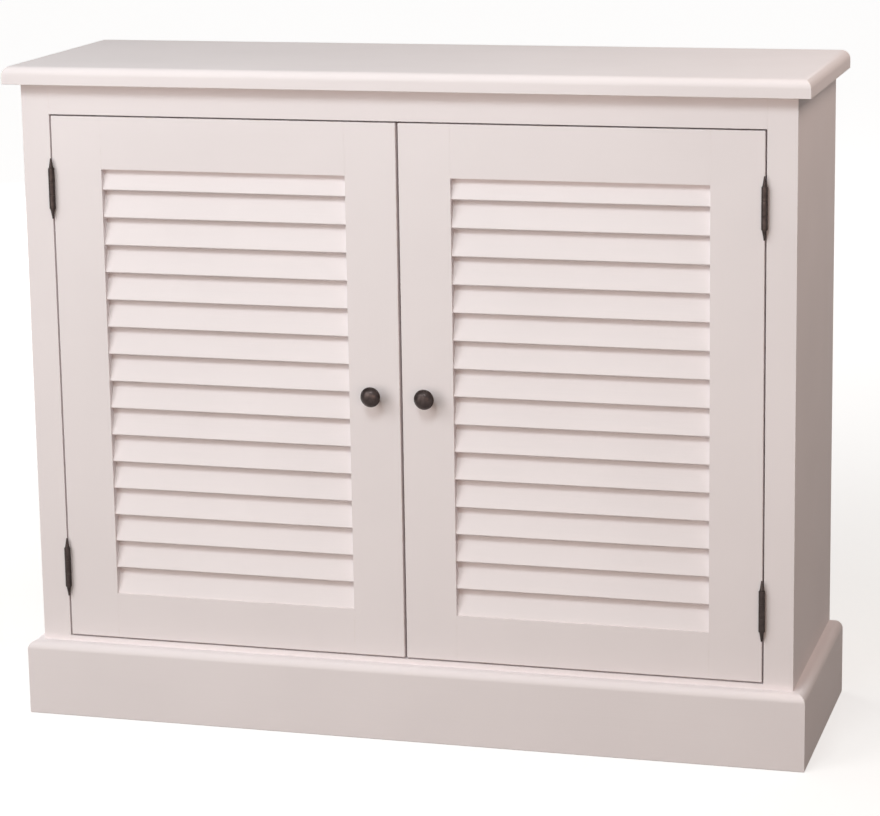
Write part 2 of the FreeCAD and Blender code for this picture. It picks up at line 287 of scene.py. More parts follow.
def satin_paint(direction):
    """Brushed satin paint whose brush marks run along the board."""
    finish = Finish(f"satin_paint_{direction}")
    tone = finish.noise(0.18, detail=3.0)
    brush = finish.noise(grain(direction, 0.09, 0.0011), detail=3.0, roughness=0.6)
    wood = finish.noise(grain(direction, 0.16, 0.006), detail=4.0, distortion=0.6)
    orange_peel = finish.noise(0.0022, detail=2.0)
    worn = finish.noise(0.014, detail=5.0, roughness=0.65)
    body = finish.mix(finish.between(tone, 0.0, 1.0), PAINT_LIGHT, PAINT_SHADE)
    wear = finish.maths("MULTIPLY", finish.eased_edge(), finish.between(worn, 0.0, 0.7, 0.48, 0.66))
    finish.colour(finish.mix(wear, body, PAINT_WORN))
    finish.roughness(finish.between(brush, 0.50, 0.64))
    finish.shader.inputs["Specular IOR Level"].default_value = 0.16
    finish.bumps((wood, 0.00010), (brush, 0.00005), (orange_peel, 0.00003))
    return finish.material


def bare_pine(direction):
    """Sanded softwood with soft growth bands along the board."""
    finish = Finish(f"bare_pine_{direction}")
    bands = finish.noise(grain(direction, 0.35, 0.009), detail=4.0, distortion=1.2)
    fibre = finish.noise(grain(direction, 0.03, 0.0007), detail=3.0, roughness=0.65)
    early = finish.mix(finish.between(bands, 0.0, 1.0), PINE_LIGHT, PINE_DARK)
    finish.colour(finish.mix(finish.between(fibre, 0.0, 0.35), early, PINE_DARK))
    finish.roughness(finish.between(fibre, 0.62, 0.78))
    finish.bumps((bands, 0.00008), (fibre, 0.00006))
    return finish.material


def dark_bronze():
    """Dark bronze with a soft uneven patina, rubbed brighter on its edges."""
    finish = Finish("dark_bronze")
    patina = finish.noise(0.006, detail=5.0, roughness=0.6)
    fine = finish.noise(0.0008, detail=2.0)
    body = finish.mix(finish.between(patina, 0.0, 1.0), BRONZE, BRONZE_DEEP)
    rubbed = finish.maths("MULTIPLY", finish.eased_edge(), finish.between(patina, 0.1, 0.8))
    finish.colour(finish.mix(rubbed, body, BRONZE_RUBBED))
    finish.roughness(finish.between(patina, 0.30, 0.42))
    finish.shader.inputs["Metallic"].default_value = 1.0
    finish.bumps((patina, 0.00004), (fine, 0.000015))
    return finish.material


def zinc_plate():
    """Zinc plate, dulled in patches, with fine drawing lines."""
    finish = Finish("zinc_plate")
    drawn = finish.noise(grain(ALONG_X, 0.02, 0.0004), detail=3.0)
    dull = finish.noise(0.005, detail=4.0)
    finish.colour(finish.mix(finish.between(dull, 0.0, 1.0), ZINC, ZINC_DULL))
    finish.roughness(finish.between(drawn, 0.28, 0.42))
    finish.shader.inputs["Metallic"].default_value = 1.0
    finish.bumps((drawn, 0.00001))
    return finish.material


def moulded_plastic():
    """White moulded plastic with a fine matt grain."""
    finish = Finish("moulded_plastic")
    grainy = finish.noise(0.0006, detail=2.0)
    tone = finish.noise(0.02, detail=3.0)
    finish.colour(finish.mix(finish.between(tone, 0.0, 0.5), PLASTIC, PAINT_WORN))
    finish.roughness(finish.between(grainy, 0.5, 0.62))
    finish.bumps((grainy, 0.00002))
    return finish.material


def ferrite():
    """Dull dark ferrite."""
    finish = Finish("ferrite")
    grainy = finish.noise(0.0008, detail=3.0)
    finish.colour(finish.mix(finish.between(grainy, 0.0, 1.0), FERRITE, BRONZE_DEEP))
    finish.roughness(finish.between(grainy, 0.55, 0.7))
    finish.bumps((grainy, 0.00002))
    return finish.material


PAINT = {direction: satin_paint(direction) for direction in (ALONG_X, ALONG_Y, ALONG_Z)}
PINE = {direction: bare_pine(direction) for direction in (ALONG_X, ALONG_Y, ALONG_Z)}
METAL = dark_bronze()
PLATE = zinc_plate()
CATCH_BODY = moulded_plastic()
MAGNET = ferrite()


# ---- Piece helpers ----
def placed(name, data):
    """A new object in the scene."""
    made = bpy.data.objects.new(name, data)
    bpy.context.scene.collection.objects.link(made)
    return made


def evaluated(holder):
    """The plain mesh that an object comes to with its modifiers. The object itself goes."""
    graph = bpy.context.evaluated_depsgraph_get()
    mesh = bpy.data.meshes.new_from_object(holder.evaluated_get(graph))
    bpy.data.objects.remove(holder)
    return mesh


def modified(mesh, kind, **settings):
    """A mesh after one modifier."""
    holder = placed("holder", mesh)
    modifier = holder.modifiers.new("shape", kind)
    for key, value in settings.items():
        setattr(modifier, key, value)
    return evaluated(holder)


def add_piece(name, mesh, body, slot_name, material, replaced=None):
    """Put a finished mesh in the scene, on its body, with its flat faces flat to the light."""
    mesh.materials.clear()
    mesh.materials.append(material)
    mesh.shade_smooth()
    mesh.set_sharp_from_angle(angle=sharp_angle)
    mesh = modified(mesh, "WEIGHTED_NORMAL", keep_sharp=True)
    mesh.name = name
    piece = placed(name, mesh)
    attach(piece, body)
    if replaced:
        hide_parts(replaced)


def mesh_of(shape, name):
    """The mesh of a bmesh, with its faces turned outwards."""
    bmesh.ops.recalc_face_normals(shape, faces=shape.faces)
    mesh = bpy.data.meshes.new(name)
    shape.to_mesh(mesh)
    shape.free()
    return mesh


def ease(shape, edges, radius, steps=ease_steps):
    """Round some edges, and mark the new faces so that the finish can wear there."""
    mark = shape.faces.layers.float.get("eased") or shape.faces.layers.float.new("eased")
    made = bmesh.ops.bevel(
        shape, geom=edges, offset=radius, segments=steps, profile=0.5, affect="EDGES", clamp_overlap=True
    )
    for face in made["faces"]:
        face[mark] = 1.0


def block(low, high):
    """A sharp block between two corners."""
    shape = bmesh.new()
    size = Vector(high) - Vector(low)
    place = Matrix.Translation((Vector(high) + Vector(low)) / 2) @ Matrix.Diagonal((*size, 1))
    bmesh.ops.create_cube(shape, size=1, matrix=place)
    return shape


def sharp_edges(shape):
    folds = [edge for edge in shape.edges if len(edge.link_faces) == 2]
    return [edge for edge in folds if edge.calc_face_angle() > sharp_angle]


def eased_block(low, high, radius, steps=ease_steps):
    shape = block(low, high)
    ease(shape, list(shape.edges), radius, steps)
    return shape


def merged(shapes, name):
    """Several shapes as one mesh, each still closed by itself."""
    whole = bmesh.new()
    for shape in shapes:
        part = mesh_of(shape, "part")
        whole.from_mesh(part)
        bpy.data.meshes.remove(part)
    mesh = bpy.data.meshes.new(name)
    whole.to_mesh(mesh)
    whole.free()
    return mesh


def cut(shape, cutters):
    """What is left of a shape when the cutters are taken away."""
    cutter = placed("cutter", merged(cutters, "cutter"))
    board = mesh_of(shape, "board")
    mesh = modified(board, "BOOLEAN", object=cutter, operation="DIFFERENCE", solver="EXACT")
    bpy.data.objects.remove(cutter)
    left = bmesh.new()
    left.from_mesh(mesh)
    bpy.data.meshes.remove(mesh)
    return left


def turned(profile, place):
    """A closed shape turned round Z from (radius, height) points, bottom to top, then moved by a matrix."""
    shape = bmesh.new()
    rings = []
    for radius, height in profile:
        if radius == 0:
            rings.append([shape.verts.new((0, 0, height))])
            continue
        ring = []
        for step in range(turning_steps):
            turn = 2 * math.pi * step / turning_steps
            ring.append(shape.verts.new((radius * math.cos(turn), radius * math.sin(turn), height)))
        rings.append(ring)
    for lower, upper in zip(rings, rings[1:]):
        for step in range(turning_steps):
            after = (step + 1) % turning_steps
            corners = [lower[step % len(lower)], lower[after % len(lower)]]
            corners += [upper[after % len(upper)], upper[step % len(upper)]]
            kept = []
            for corner in corners:
                if corner not in kept:
                    kept.append(corner)
            shape.faces.new(kept)
    bmesh.ops.transform(shape, matrix=place, verts=shape.verts)
    return shape


def stretch(steps, point):
    """Points of a profile, from a function that gives the point at a share from 0 to 1."""
    return [point(step / steps) for step in range(steps + 1)]


def arc(centre, radius, start, end, steps):
    """Points round an arc, angles in degrees from the first axis to the second."""

    def point(share):
        turn = math.radians(start + (end - start) * share)
        return centre[0] + radius * math.cos(turn), centre[1] + radius * math.sin(turn)

    return stretch(steps, point)


def dress(node, material):
    """Give a CAD node that is shown as it is its finish."""
    materials = frame["nodes"][node].data.materials
    if materials:
        materials[0] = material
    else:
        materials.append(material)


def paint_board(node, direction, radius, corners=None):
    """A painted board of the case in place of a CAD node, between the node's own corners or others."""
    low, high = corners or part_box(node)
    shape = eased_block(low, high, radius, board_ease_steps)
    add_piece(f"painted_{node}", mesh_of(shape, node), "case", "paint", PAINT[direction], node)


# ---- Top and base ----
def top_board():
    """The top, rounded over on the upper edges of its front and ends."""
    low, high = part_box("top_panel")
    inside = Vector((hair, hair, hair))
    shape = block(low + inside, high - inside)
    shown = []
    for edge in shape.edges:
        on_top = all(vert.co.z > (low.z + high.z) / 2 for vert in edge.verts)
        at_back = all(vert.co.y > (low.y + high.y) / 2 for vert in edge.verts)
        if on_top and not at_back:
            shown.append(edge)
    bmesh.ops.bevel(shape, geom=shown, offset=top_round, segments=round_steps, profile=0.5, affect="EDGES")
    ease(shape, sharp_edges(shape), board_ease)
    add_piece("painted_top", mesh_of(shape, "painted_top"), "case", "paint", PAINT[ALONG_X], "top_panel")


def base_section(thickness, height):
    """Points (out, up) round the section of the base, from its inner foot."""
    foot = [(0, 0), (thickness - board_ease, 0), (thickness, board_ease)]
    centre = (thickness - base_round, height - base_round)
    return foot + arc(centre, base_round, 0, 90, round_steps) + [(0, height)]


def ring_edges(ring):
    """The edges that join the corners of one end."""
    corners = set(ring)
    edges = {edge for vert in ring for edge in vert.link_edges}
    return [edge for edge in edges if set(edge.verts) <= corners]


def base_run(side, direction, *ends):
    """A base moulding swept between two ends, each a function from a section point to a place."""
    low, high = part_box("base_front_moulding")
    section = base_section(high.y - low.y, high.z - low.z)
    shape = bmesh.new()
    rings = [[shape.verts.new(end(out, up)) for out, up in section] for end in ends]
    first, last = rings
    count = len(section)
    for step in range(count):
        after = (step + 1) % count
        shape.faces.new((first[step], first[after], last[after], last[step]))
    shape.faces.new(first)
    shape.faces.new(list(reversed(last)))
    ease(shape, [edge for ring in rings for edge in ring_edges(ring)], joint_ease, steps=1)
    name = f"painted_base_{side}"
    add_piece(name, mesh_of(shape, name), "case", "paint", PAINT[direction], f"base_{side}_moulding")


def base_runs():
    """Front and side mouldings, mitred at the front corners."""
    low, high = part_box("base_front_moulding")
    thickness = high.y - low.y
    end_x = high.x - thickness
    back_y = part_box("base_left_moulding")[1].y

    def mitre(way):
        return lambda out, up: (way * (end_x + out), high.y - out, up)

    def square_end(way):
        return lambda out, up: (way * (end_x + out), back_y, up)

    base_run("front", ALONG_X, mitre(-1), mitre(1))
    base_run("left", ALONG_Y, mitre(-1), square_end(-1))
    base_run("right", ALONG_Y, mitre(1), square_end(1))


# ---- Case ----
def painted_case():
    """The painted boards of the case. The frame's rails end at its stiles."""
    for side in SIDES:
        paint_board(f"frame_{side}_stile", ALONG_Z, joint_ease * 2)
        paint_board(f"{side}_side_panel", ALONG_Z, joint_ease)
        paint_board(f"{side}_shelf_batten", ALONG_Y, board_ease)
    left_x, right_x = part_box("frame_left_stile")[1].x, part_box("frame_right_stile")[0].x
    for node in ("frame_top_rail", "frame_bottom_rail"):
        low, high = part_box(node)
        paint_board(node, ALONG_X, joint_ease, ((left_x, low.y, low.z), (right_x, high.y, high.z)))
    paint_board("bottom_panel", ALONG_X, joint_ease)
    paint_board("shelf", ALONG_X, board_ease * 2)


def bare_case():
    """The plywood back, with its countersinks, and the softwood that is out of sight."""
    low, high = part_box("back_panel")
    sheet = eased_block(low, (high.x, high.y - back_sink, high.z), joint_ease)
    panel = mesh_of(cut(sheet, sinks(back_screw_places(), back_screw)), "back_panel")
    add_piece("plywood_back", panel, "case", "bare_pine", PINE[ALONG_Z], "back_panel")
    for node in ("base_back_rail", "top_front_cleat", "top_back_cleat"):
        bare = mesh_of(eased_block(*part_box(node), joint_ease * 2), node)
        add_piece(f"bare_{node}", bare, "case", "bare_pine", PINE[ALONG_X], node)
    dress("corner_blocks", PINE[ALONG_Z])


# ---- Doors ----
def recess_boxes(side):
    """Low and high corners of the two leaf recesses in a door's outer edge."""
    stile_low, stile_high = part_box(f"{side}_door_hinge_stile")
    edge_x, inward = (stile_low.x, 1) if side == "left" else (stile_high.x, -1)
    x0, x1 = sorted((edge_x - inward * recess_cutter_reach, edge_x + inward * leaf_thickness))
    front = stile_low.y - recess_cutter_reach
    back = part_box(f"{side}_door_hinge_leaves")[1].y + leaf_seat_gap
    boxes = []
    for bottom in hinge_bottoms():
        top = bottom + hinge_length
        boxes.append(((x0, front, bottom - leaf_seat_gap), (x1, back, top + leaf_seat_gap)))
    return boxes


def door_rim(side):
    """Low and high corners of a door's frame."""
    low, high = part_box(f"{side}_door_hinge_stile")
    other_low, other_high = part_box(f"{side}_door_meeting_stile")
    left_x, right_x = min(low.x, other_low.x), max(high.x, other_high.x)
    return Vector((left_x, low.y, low.z)), Vector((right_x, high.y, high.z))


def on_rim(edge, side):
    """True for an edge that runs round the outside of a door, on its face or its back."""
    first, second = (vert.co for vert in edge.verts)
    if abs(first.y - second.y) > rim_ease:
        return False
    away = [
        max(abs(first[axis] - limit[axis]), abs(second[axis] - limit[axis]))
        for axis in (0, 2)
        for limit in door_rim(side)
    ]
    return min(away) < hair


def door_board(side, name, shape, direction, radius):
    """A board of a door, rounded where it is the outside of the door and eased a little elsewhere."""
    ease(shape, [edge for edge in shape.edges if on_rim(edge, side)], rim_ease, rim_ease_steps)
    ease(shape, sharp_edges(shape), radius)
    node = f"{side}_door_{name}"
    add_piece(f"painted_{node}", mesh_of(shape, node), BODY[side], "paint", PAINT[direction], node)


def door_frame(side):
    """Two stiles, the outer one with the hinge recesses, and two rails that end at the stiles."""
    hinge_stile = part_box(f"{side}_door_hinge_stile")
    meeting_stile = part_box(f"{side}_door_meeting_stile")
    recesses = [block(*corners) for corners in recess_boxes(side)]
    door_board(side, "hinge_stile", cut(block(*hinge_stile), recesses), ALONG_Z, joint_ease * 2)
    door_board(side, "meeting_stile", block(*meeting_stile), ALONG_Z, joint_ease * 2)
    left_stile, right_stile = sorted((hinge_stile, meeting_stile), key=lambda corners: corners[0].x)
    for rail in ("top_rail", "bottom_rail"):
        low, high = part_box(f"{side}_door_{rail}")
        between = block((left_stile[1].x, low.y, low.z), (right_stile[0].x, high.y, high.z))
        door_board(side, rail, between, ALONG_X, joint_ease)


# ---- Geometry node helpers ----
class NodeTree:
    """A geometry node tree with named inputs."""

    def __init__(self, name):
        self.tree = bpy.data.node_groups.new(name, "GeometryNodeTree")
        self.tree.interface.new_socket("Geometry", in_out="OUTPUT", socket_type="NodeSocketGeometry")
        self.ids = {}
        self.inputs = None

    def wants(self, **kinds):
        self.tree.interface.new_socket("Geometry", in_out="INPUT", socket_type="NodeSocketGeometry")
        for name, kind in kinds.items():
            socket = self.tree.interface.new_socket(name, in_out="INPUT", socket_type=f"NodeSocket{kind}")
            self.ids[name] = socket.identifier
        self.inputs = self.node("NodeGroupInput").outputs

    def node(self, kind, settings=None, **sockets):
        made = self.tree.nodes.new(kind)
        for key, value in (settings or {}).items():
            setattr(made, key, value)
        for name, value in sockets.items():
            self.feed(made.inputs[name.replace("_", " ")], value)
        return made

    def feed(self, socket, value):
        if isinstance(value, bpy.types.NodeSocket):
            self.tree.links.new(value, socket)
        else:
            socket.default_value = value

    def maths(self, operation, first, second):
        made = self.node("ShaderNodeMath", {"operation": operation})
        self.feed(made.inputs[0], first)
        self.feed(made.inputs[1], second)
        return made.outputs[0]

    def times(self, value, factor):
        return self.maths("MULTIPLY", value, factor)

    def vector(self, x=0.0, y=0.0, z=0.0):
        return self.node("ShaderNodeCombineXYZ", X=x, Y=y, Z=z).outputs[0]

    def moved(self, geometry, **how):
        return self.node("GeometryNodeTransform", Geometry=geometry, **how).outputs[0]

    def chance(self, low, high, seed):
        """A number between two others that differs from point to point."""
        drawn = self.node("FunctionNodeRandomValue", {"data_type": "FLOAT"})
        for index, value in ((2, low), (3, high), (8, seed)):
            self.feed(drawn.inputs[index], value)
        return drawn.outputs[1]

    def finish(self, geometry, material):
        """Realize what was made, give it its material and send it out."""
        real = self.node("GeometryNodeRealizeInstances", Geometry=geometry)
        painted = self.node("GeometryNodeSetMaterial", Geometry=real.outputs[0], Material=material)
        out = self.tree.nodes.new("NodeGroupOutput")
        self.tree.links.new(painted.outputs[0], out.inputs[0])

    def grow(self, points, name, **values):
        """Run the tree on (place, facing) points and return the plain mesh that it makes."""
        point_mesh = bpy.data.meshes.new("points")
        point_mesh.from_pydata([place for place, _ in points], [], [])
        facing = point_mesh.attributes.new("facing", "FLOAT_VECTOR", "POINT")
        for index, (_, direction) in enumerate(points):
            facing.data[index].vector = direction
        holder = placed("holder", point_mesh)
        modifier = holder.modifiers.new("grow", "NODES")
        modifier.node_group = self.tree
        for key, value in values.items():
            modifier[self.ids[key]] = value
        mesh = evaluated(holder)
        mesh.name = name
        return mesh


# ---- Slats ----
def slat_tree():
    """Slats stood one above the other: a board with rounded long edges, leaning back."""
    tree = NodeTree("louvre slats")
    tree.wants(
        Count="Int",
        Pitch="Float",
        Length="Float",
        Width="Float",
        Thickness="Float",
        Edge_Radius="Float",
        Tilt="Float",
        Sway="Float",
        First="Vector",
        Seed="Int",
        Finish="Material",
    )
    get = tree.inputs
    section = tree.node(
        "GeometryNodeCurvePrimitiveQuadrilateral", Width=get["Width"], Height=get["Thickness"]
    )
    rounded = tree.node(
        "GeometryNodeFilletCurve",
        {"mode": "POLY"},
        Curve=section.outputs[0],
        Count=slat_edge_points,
        Radius=get["Edge_Radius"],
        Limit_Radius=True,
    )
    line = tree.node(
        "GeometryNodeCurvePrimitiveLine",
        Start=tree.vector(z=tree.times(get["Length"], -0.5)),
        End=tree.vector(z=tree.times(get["Length"], 0.5)),
    )
    board = tree.node(
        "GeometryNodeCurveToMesh", Curve=line.outputs[0], Profile_Curve=rounded.outputs[0], Fill_Caps=True
    )
    column = tree.node(
        "GeometryNodeMeshLine",
        Count=get["Count"],
        Start_Location=get["First"],
        Offset=tree.vector(z=get["Pitch"]),
    )
    sway = tree.chance(tree.times(get["Sway"], -1.0), get["Sway"], get["Seed"])
    stood = tree.node(
        "GeometryNodeInstanceOnPoints",
        Points=column.outputs[0],
        Instance=tree.moved(board.outputs[0], Rotation=(0.0, math.pi / 2, 0.0)),
        Rotation=tree.vector(x=tree.maths("SUBTRACT", sway, get["Tilt"])),
    )
    tree.finish(stood.outputs[0], get["Finish"])
    return tree


def door_slats(side, tree):
    """The slats of one door, from the lower edge of its opening up."""
    low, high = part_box(f"{side}_door_slats")
    door_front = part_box(f"{side}_door_meeting_stile")[0].y
    count = int((high.z - low.z - slat_least_show) / slat_pitch) + 1
    rise = Vector((0, math.sin(slat_tilt), math.cos(slat_tilt)))
    through = Vector((0, math.cos(slat_tilt), -math.sin(slat_tilt)))
    corner = Vector(((low.x + high.x) / 2, door_front + slat_setback, low.z))
    mesh = tree.grow(
        [],
        f"{side}_slats",
        Count=count,
        Pitch=slat_pitch,
        Length=high.x - low.x,
        Width=slat_width,
        Thickness=slat_thickness,
        Edge_Radius=slat_edge_radius,
        Tilt=slat_tilt,
        Sway=slat_sway,
        First=corner + rise * slat_width / 2 + through * slat_thickness / 2,
        Seed=slat_seeds[side],
        Finish=PAINT[ALONG_X],
    )
    add_piece(f"painted_{side}_slats", mesh, BODY[side], "paint", PAINT[ALONG_X], f"{side}_door_slats")


# ---- Screw heads ----
def domed_head(tree, radius, height):
    """A flattened ball, half of it above the surface."""
    ball = tree.node(
        "GeometryNodeMeshUVSphere", Segments=screw_facets, Rings=screw_facets // 2, Radius=radius
    )
    flatter = tree.vector(1.0, 1.0, tree.maths("DIVIDE", height, radius))
    return tree.moved(ball.outputs[0], Scale=flatter)


def flush_head(tree, radius, height):
    """A cone with its wide flat end at the surface."""
    cone = tree.node(
        "GeometryNodeMeshCone",
        {"fill_type": "NGON"},
        Vertices=screw_facets,
        Radius_Top=radius,
        Radius_Bottom=tree.times(radius, screw_taper),
        Depth=height,
    )
    return tree.moved(cone.outputs[0], Translation=tree.vector(z=tree.times(height, -1.0)))


def crossed(tree, head, top, radius, height):
    """A head with a cross cut in its top."""
    long, wide = tree.times(radius, cross_length), tree.times(radius, cross_width)
    deep = tree.times(height, 2 * cross_depth)
    recess = tree.node("GeometryNodeMeshBoolean", {"operation": "DIFFERENCE", "solver": "EXACT"})
    tree.feed(recess.inputs[0], head)
    for x, y in ((long, wide), (wide, long)):
        bar = tree.node("GeometryNodeMeshCube", Size=tree.vector(x, y, deep))
        tree.feed(recess.inputs[1], tree.moved(bar.outputs[0], Translation=tree.vector(z=top)))
    return recess.outputs[0]


def screw_tree(domed):
    """Screw heads on points, each facing its own way: domed, or flush with a cone below."""
    tree = NodeTree("domed screw heads" if domed else "flush screw heads")
    tree.wants(Radius="Float", Height="Float", Seed="Int", Finish="Material")
    get = tree.inputs
    radius, height = get["Radius"], get["Height"]
    head = domed_head(tree, radius, height) if domed else flush_head(tree, radius, height)
    facing = tree.node("GeometryNodeInputNamedAttribute", {"data_type": "FLOAT_VECTOR"}, Name="facing")
    aligned = tree.node("FunctionNodeAlignRotationToVector", {"axis": "Z"}, Vector=facing.outputs[0])
    spun = tree.node("FunctionNodeRotateRotation", {"rotation_space": "LOCAL"}, Rotation=aligned.outputs[0])
    tree.feed(spun.inputs[1], tree.vector(z=tree.chance(0.0, math.pi, get["Seed"])))
    points = tree.node("GeometryNodeMeshToPoints", Mesh=get["Geometry"])
    heads = tree.node(
        "GeometryNodeInstanceOnPoints",
        Points=points.outputs[0],
        Instance=crossed(tree, head, height if domed else 0.0, radius, height),
        Rotation=spun.outputs[0],
    )
    tree.finish(heads.outputs[0], get["Finish"])
    return tree


def add_screws(tree, name, body, finish, size, places, seed):
    """Screw heads at (place, facing) pairs, where a place is on the surface that they go into."""
    slot_name, material = finish
    radius, height = size
    mesh = tree.grow(places, name, Radius=radius, Height=height, Seed=seed, Finish=material)
    add_piece(name, mesh, body, slot_name, material)


def flush(places):
    """The same places, a little below the surface."""
    return [(Vector(place) - Vector(facing) * screw_slack, facing) for place, facing in places]


def sinks(places, size):
    """Cutters for the countersinks of flush screws."""
    radius, depth = size[0] + screw_slack, size[1] + screw_slack
    cone = [(0, -depth), (radius * screw_taper, -depth), (radius, 0)]
    cone += [(radius, screw_slack), (0, screw_slack)]
    cutters = []
    for place, facing in places:
        aim = Vector(facing).to_track_quat("Z", "Y").to_matrix().to_4x4()
        cutters.append(turned(cone, Matrix.Translation(Vector(place)) @ aim))
    return cutters


# ---- Hinges ----
def pin_axis(side):
    """Where the pin stands, and the direction (+1 or -1) from it to the door."""
    joint = next(joint for joint in frame["joints"] if joint["child"] == BODY[side])
    return joint["pos_m"][0], joint["pos_m"][1], (1 if side == "left" else -1)


def leaf_side(side, on_door):
    """The direction from the pin to one of its two leaves."""
    to_door = pin_axis(side)[2]
    return to_door if on_door else -to_door


def hinge_bottoms():
    low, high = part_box("left_door_hinge_leaves")
    return low.z, high.z - hinge_length


def barrel_radius():
    return pin_axis("left")[1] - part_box("left_door_hinge_leaves")[0].y


def leaf_depths():
    """The front and the back of a closed leaf's plate."""
    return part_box("frame_left_stile")[0].y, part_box("left_door_hinge_leaves")[1].y


def leaf_screw_places(side, bottom, on_door):
    """Where the screws of one leaf enter, on the face that looks at the other leaf."""
    way = leaf_side(side, on_door)
    face_x = pin_axis(side)[0] + way * leaf_gap / 2
    middle_y = sum(leaf_depths()) / 2
    places = []
    for number in range(hinge_screws_per_leaf):
        shift = hinge_screw_stagger if number % 2 else -hinge_screw_stagger
        height = bottom + hinge_length * (number + 0.5) / hinge_screws_per_leaf
        places.append(((face_x, middle_y + shift, height), (-way, 0, 0)))
    return places


def hinge_screw_places(side, on_door):
    return [place for bottom in hinge_bottoms() for place in leaf_screw_places(side, bottom, on_door)]


def knuckle(x, y, low, high, low_round, high_round):
    """One rolled knuckle with rounded ends."""
    radius = barrel_radius()
    profile = [(0, low)] + arc((radius - low_round, low + low_round), low_round, -90, 0, small_round_steps)
    profile += arc((radius - high_round, high - high_round), high_round, 0, 90, small_round_steps)
    return turned(profile + [(0, high)], Matrix.Translation((x, y, 0)))


def leaf(side, bottom, on_door):
    """One leaf: its plate, and its knuckles with the tabs that join them to the plate."""
    x, y, _ = pin_axis(side)
    way = leaf_side(side, on_door)
    front, back = leaf_depths()
    x0, x1 = sorted((x + way * leaf_gap / 2, x + way * (leaf_gap / 2 + leaf_thickness)))
    plate = eased_block((x0, front, bottom), (x1, back, bottom + hinge_length), metal_ease)
    shapes = [cut(plate, sinks(leaf_screw_places(side, bottom, on_door), hinge_screw))]
    step = hinge_length / hinge_knuckles
    for number in range(1 if on_door else 0, hinge_knuckles, 2):
        first, last = number == 0, number == hinge_knuckles - 1
        low = bottom + number * step + (0 if first else knuckle_gap / 2)
        high = bottom + (number + 1) * step - (0 if last else knuckle_gap / 2)
        rounds = [barrel_round if outer else metal_ease for outer in (first, last)]
        shapes.append(knuckle(x, y, low, high, *rounds))
        shapes.append(block((x0, y, low), (x1, front + metal_ease, high)))
    return shapes


def finial(side, base, upwards):
    """A collar with a rounded edge, and a slim spire with a small round tip."""
    x, y, _ = pin_axis(side)
    bead = collar_height / 2
    spire_end = finial_length - spire_tip

    def spire(share):
        radius = spire_tip + (spire_root - spire_tip) * (1 - share) ** spire_sweep
        return radius, spire_foot + share * (spire_end - spire_foot)

    profile = [(0, 0)] + arc((collar_radius - bead, bead), bead, -collar_sweep, collar_sweep, bead_steps)
    profile += stretch(spire_steps, spire)
    profile += arc((0, spire_end), spire_tip, 0, 90, small_round_steps)[1:-1] + [(0, finial_length)]
    turn_over = Matrix.Diagonal((1, 1, 1 if upwards else -1, 1))
    return turned(profile, Matrix.Translation((x, y, base)) @ turn_over)


def pin_shaft(side, bottom):
    x, y, _ = pin_axis(side)
    profile = [(0, 0), (pin_radius, 0), (pin_radius, hinge_length), (0, hinge_length)]
    return turned(profile, Matrix.Translation((x, y, bottom)))


def hinges():
    frame_parts, pin_parts = [], []
    for side in SIDES:
        door_parts = []
        for bottom in hinge_bottoms():
            frame_parts += leaf(side, bottom, on_door=False)
            door_parts += leaf(side, bottom, on_door=True)
            pin_parts.append(pin_shaft(side, bottom))
            pin_parts.append(finial(side, bottom + hinge_length, upwards=True))
            pin_parts.append(finial(side, bottom, upwards=False))
        node = f"{side}_door_hinge_leaves"
        add_piece(f"bronze_{node}", merged(door_parts, node), BODY[side], "dark_bronze", METAL, node)
    frame_leaves = merged(frame_parts, "frame_leaves")
    add_piece("bronze_frame_leaves", frame_leaves, "case", "dark_bronze", METAL, "hinge_frame_leaves")
    add_piece("bronze_hinge_pins", merged(pin_parts, "pins"), "case", "dark_bronze", METAL, "hinge_pins")


# ---- Knobs ----
def knob_profile(radius, reach):
    """A mushroom: slim foot and neck, a cup that spreads to the rim, and a low domed cap."""
    neck_root = knob_foot - knob_foot_step
    cap_edge, cap_low = radius - cap_inset, rim_high - cap_drop

    def neck(share):
        out = (neck_root - knob_neck) * (1 - share) ** neck_hollow
        return knob_neck + out, neck_low + share * neck_length

    def cup(share):
        swing = math.radians(90) * share
        out = (radius - cup_inset - knob_neck) * math.sin(swing)
        return knob_neck + out, cup_low + (rim_low - cup_low) * (1 - math.cos(swing))

    def cap(share):
        out = math.cos(math.radians(90) * share)
        return cap_edge * out, reach - (reach - cap_low) * out**cap_flatness

    rim_middle = (radius - rim_radius, (rim_low + rim_high) / 2)
    profile = [(0, 0), (knob_foot, 0), (knob_foot, knob_foot_height)]
    profile += stretch(neck_steps, neck) + stretch(cup_steps, cup)
    profile += arc(rim_middle, rim_radius, rim_from, rim_to, bead_steps)
    return profile + stretch(cap_steps, cap)[:-1] + [(0, reach)]


def knob(side):
    node = f"{side}_door_knob"
    low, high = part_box(node)
    foot = Vector(((low.x + high.x) / 2, high.y, (low.z + high.z) / 2))
    place = Matrix.Translation(foot) @ Matrix.Rotation(math.pi / 2, 4, "X")
    shape = turned(knob_profile((high.x - low.x) / 2, high.y - low.y), place)
    add_piece(f"bronze_{node}", mesh_of(shape, node), BODY[side], "dark_bronze", METAL, node)


# ---- Catches and the small screws ----
def strike_screw_places(side):
    low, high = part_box(f"{side}_door_strike_plate")
    inset = (high.z - low.z) / 2
    return [((x, high.y, (low.z + high.z) / 2), (0, 1, 0)) for x in (low.x + inset, high.x - inset)]


